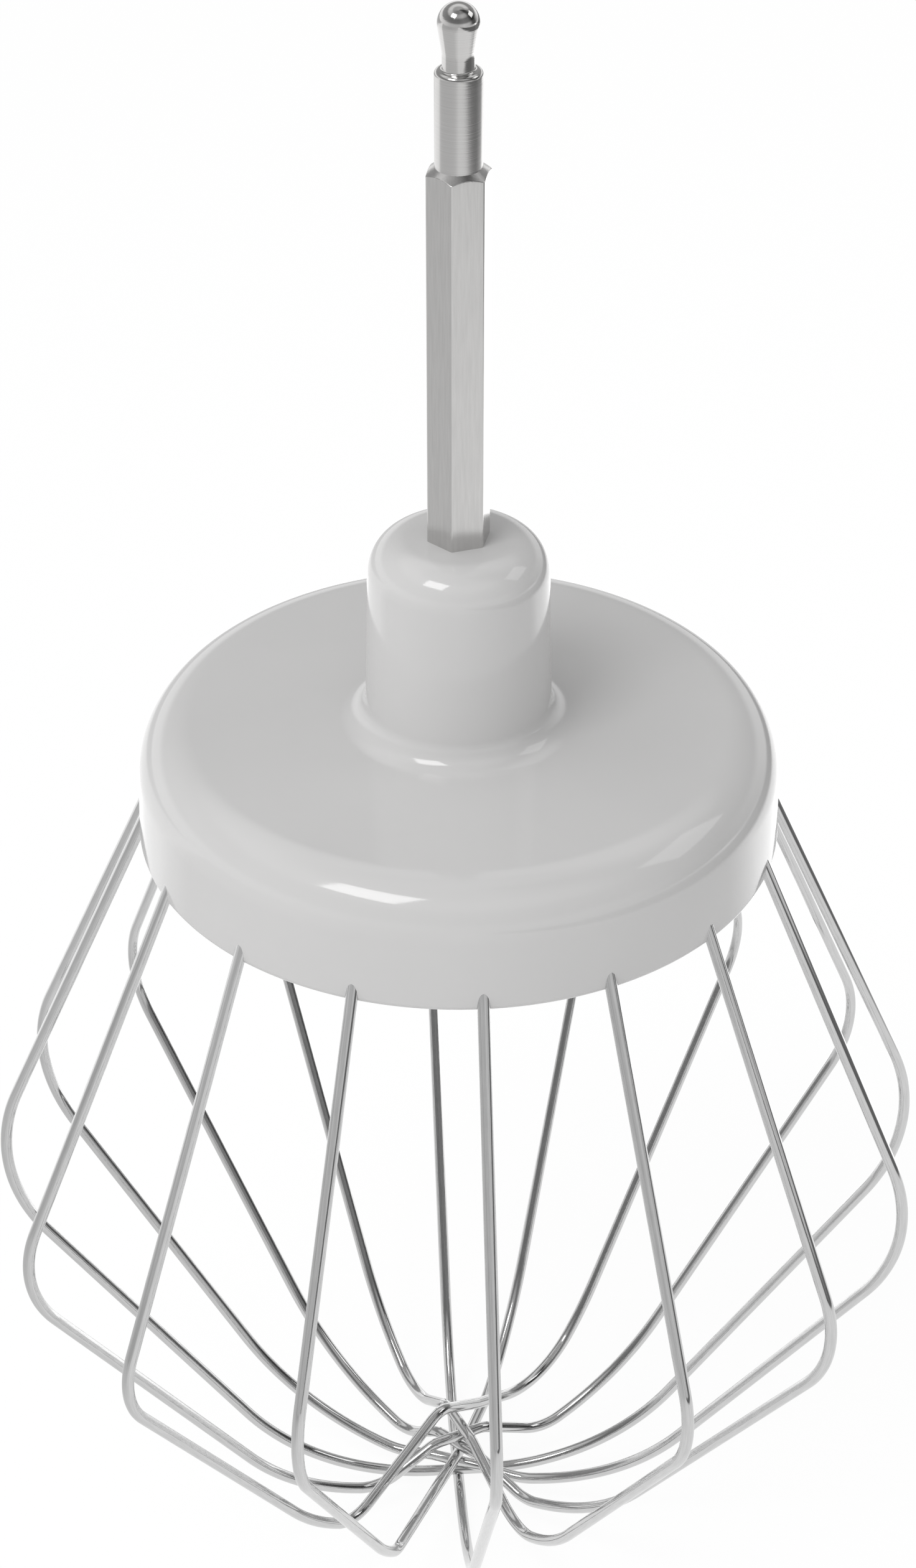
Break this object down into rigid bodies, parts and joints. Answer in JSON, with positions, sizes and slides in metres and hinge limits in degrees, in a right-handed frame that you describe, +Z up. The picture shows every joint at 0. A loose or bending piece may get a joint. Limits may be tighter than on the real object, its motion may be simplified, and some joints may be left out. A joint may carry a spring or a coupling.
{
  "type": "mixer whisk",
  "caption": "Balloon whisk for a stand mixer: polished wire loops crossing below a round white hub, driven by a hexagonal steel bar with a turned journal and ball nose.",
  "frame": {"origin": "on the axis at the shoulder where the hexagon ends and the round journal begins, the seat in the mixer's drive", "axes": "+Z up along the drive bar, away from the wires; -Y towards the picture's viewer"},
  "size_m": [0.11, 0.1137, 0.2029],
  "materials": {
    "drive_steel": "drawn flats, turned and polished end",
    "white_plastic": "glossy white moulding",
    "wire_steel": "polished stainless wire"
  },
  "bodies": {
    "root": {"drive_shaft": "drive_steel", "hub_cap": "white_plastic", "base_plate": "white_plastic", "whisk_wire_1": "wire_steel", "whisk_wire_2": "wire_steel", "whisk_wire_3": "wire_steel", "whisk_wire_4": "wire_steel", "whisk_wire_5": "wire_steel", "whisk_wire_6": "wire_steel", "whisk_wire_7": "wire_steel", "whisk_wire_8": "wire_steel"}
  },
  "joints": []
}
